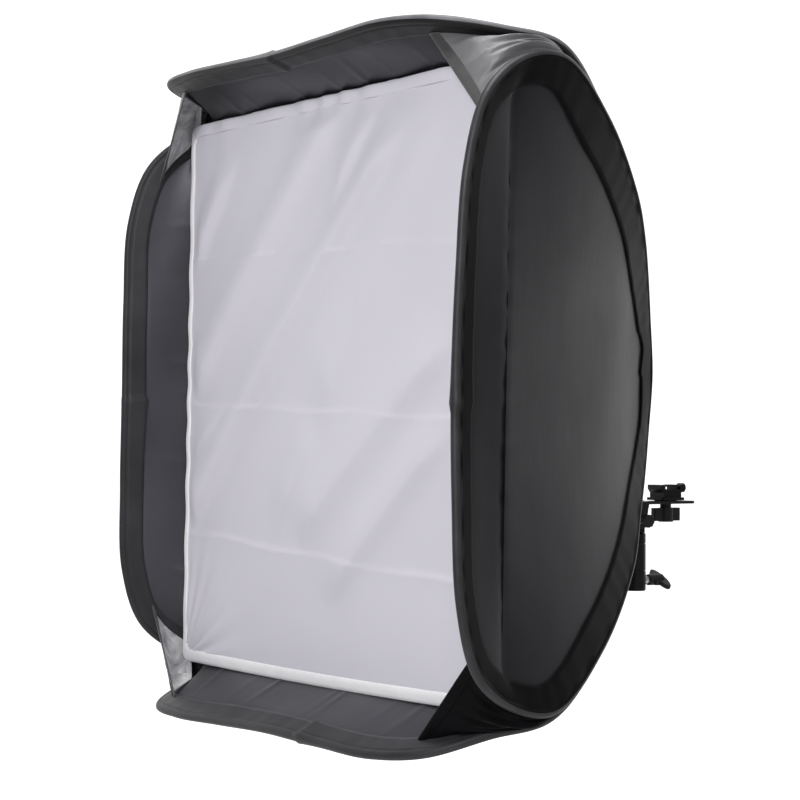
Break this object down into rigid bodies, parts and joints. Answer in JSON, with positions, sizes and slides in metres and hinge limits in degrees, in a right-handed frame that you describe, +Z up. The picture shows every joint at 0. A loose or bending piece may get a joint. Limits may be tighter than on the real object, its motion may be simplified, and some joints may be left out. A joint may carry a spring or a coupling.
{
  "type": "studio softbox",
  "caption": "Square fold-flat softbox with sprung hoops, a front diffuser and a speedlight bracket with a cold shoe and a tilting stand socket.",
  "frame": {"origin": "middle of the stand socket's mouth", "axes": "+Z up along the stand, the diffuser faces -Y, the head tilts about X"},
  "size_m": [0.674, 0.5276, 0.674],
  "materials": {
    "spring_steel": "blued spring steel",
    "binding_tape": "ribbed woven tape",
    "black_nylon": "black woven nylon, silvered on its inner face",
    "black_satin": "black satin lining",
    "gusset_cloth": "black outside and silvered inside",
    "elastic_edging": "ribbed elastic",
    "white_diffusion_cloth": "translucent white polyester",
    "white_hem": "doubled white hem",
    "hook_and_loop": "hook-and-loop tape",
    "brass": "turned",
    "black_plate": "black powder coat with bright cut edges",
    "bright_steel": "zinc plated",
    "friction_disc": "fibre",
    "black_knob": "moulded, fine texture",
    "black_alloy": "black anodised",
    "black_rubber": "matt"
  },
  "bodies": {
    "stand_mount": {"stand_receiver": "black_alloy"},
    "socket_wing": {"clamp_screw": "bright_steel", "clamp_wing": "black_knob"},
    "pressure_pad": {"pressure_pad": "brass"},
    "bracket": {"hoop_right": "spring_steel", "binding_right": "binding_tape", "panel_right": "black_nylon", "lip_right": "black_satin", "hoop_top": "spring_steel", "binding_top": "binding_tape", "panel_top": "black_nylon", "lip_top": "black_satin", "hoop_left": "spring_steel", "binding_left": "binding_tape", "panel_left": "black_nylon", "lip_left": "black_satin", "hoop_bottom": "spring_steel", "binding_bottom": "binding_tape", "panel_bottom": "black_nylon", "lip_bottom": "black_satin", "gusset_top_right": "gusset_cloth", "gusset_top_left": "gusset_cloth", "gusset_bottom_left": "gusset_cloth", "gusset_bottom_right": "gusset_cloth", "hoop_ferrules": "spring_steel", "gusset_hems": "elastic_edging", "front_diffuser": "white_diffusion_cloth", "diffuser_hem": "white_hem", "hook_tape": "hook_and_loop", "loop_tape": "hook_and_loop", "rear_collar": "black_nylon", "collar_eyelets": "brass", "mounting_ring": "black_plate", "ring_studs": "bright_steel", "bracket_plate": "black_plate", "tilt_clevis": "black_plate", "clevis_rivets": "bright_steel", "tilt_washers": "friction_disc", "tilt_bolt": "bright_steel"},
    "tilt_knob": {"tilt_knob": "black_knob"},
    "ring_nut_upper": {"ring_nut_upper": "black_knob"},
    "ring_nut_lower": {"ring_nut_lower": "black_knob"},
    "shoe_carriage": {"shoe_stud": "bright_steel", "shoe_pad": "black_rubber"},
    "cold_shoe": {"cold_shoe": "black_alloy"},
    "shoe_jaw": {"shoe_jaw": "black_plate"},
    "jaw_screw": {"jaw_screw": "black_plate"},
    "thumb_nut": {"thumb_nut": "black_knob", "thumb_nut_insert": "brass"}
  },
  "joints": [
    {"name": "head_tilt", "type": "hinge", "parent": "stand_mount", "child": "bracket", "pos_m": [0, 0, 0.075], "axis": [1, 0, 0], "range_deg": [-35, 55]},
    {"name": "tilt_knob_spin", "type": "hinge", "parent": "bracket", "child": "tilt_knob", "pos_m": [0, 0, 0.075], "axis": [1, 0, 0], "continuous": true},
    {"name": "socket_wing_spin", "type": "hinge", "parent": "stand_mount", "child": "socket_wing", "pos_m": [0, 0, 0.011], "axis": [0, -1, 0], "range_deg": [0, 576]},
    {"name": "pad_press", "type": "slide", "parent": "stand_mount", "child": "pressure_pad", "axis": [0, -1, 0], "range_m": [0, 0.002]},
    {"name": "ring_nut_upper_spin", "type": "hinge", "parent": "bracket", "child": "ring_nut_upper", "pos_m": [0, -0.0325, 0.2905], "axis": [0, 1, 0], "continuous": true},
    {"name": "ring_nut_lower_spin", "type": "hinge", "parent": "bracket", "child": "ring_nut_lower", "pos_m": [0, -0.0325, 0.1685], "axis": [0, 1, 0], "continuous": true},
    {"name": "shoe_slide", "type": "slide", "parent": "bracket", "child": "shoe_carriage", "axis": [0, 1, 0], "range_m": [-0.0085, 0.015]},
    {"name": "shoe_swivel", "type": "hinge", "parent": "shoe_carriage", "child": "cold_shoe", "pos_m": [0, 0.041, 0.098], "axis": [0, 0, 1], "continuous": true},
    {"name": "thumb_nut_spin", "type": "hinge", "parent": "shoe_carriage", "child": "thumb_nut", "pos_m": [0, 0.041, 0.082], "axis": [0, 0, 1], "continuous": true},
    {"name": "jaw_screw_spin", "type": "hinge", "parent": "cold_shoe", "child": "jaw_screw", "pos_m": [0, 0.056, 0.1095], "axis": [0, -1, 0], "range_deg": [0, 1080]},
    {"name": "jaw_slide", "type": "slide", "parent": "cold_shoe", "child": "shoe_jaw", "axis": [0, -1, 0], "range_m": [0, 0.0015]}
  ],
  "couplings": [
    {"joint": "pad_press", "follows": "socket_wing_spin", "m_per_rad": 0.00019894},
    {"joint": "jaw_slide", "follows": "jaw_screw_spin", "m_per_rad": 0.000079577}
  ]
}
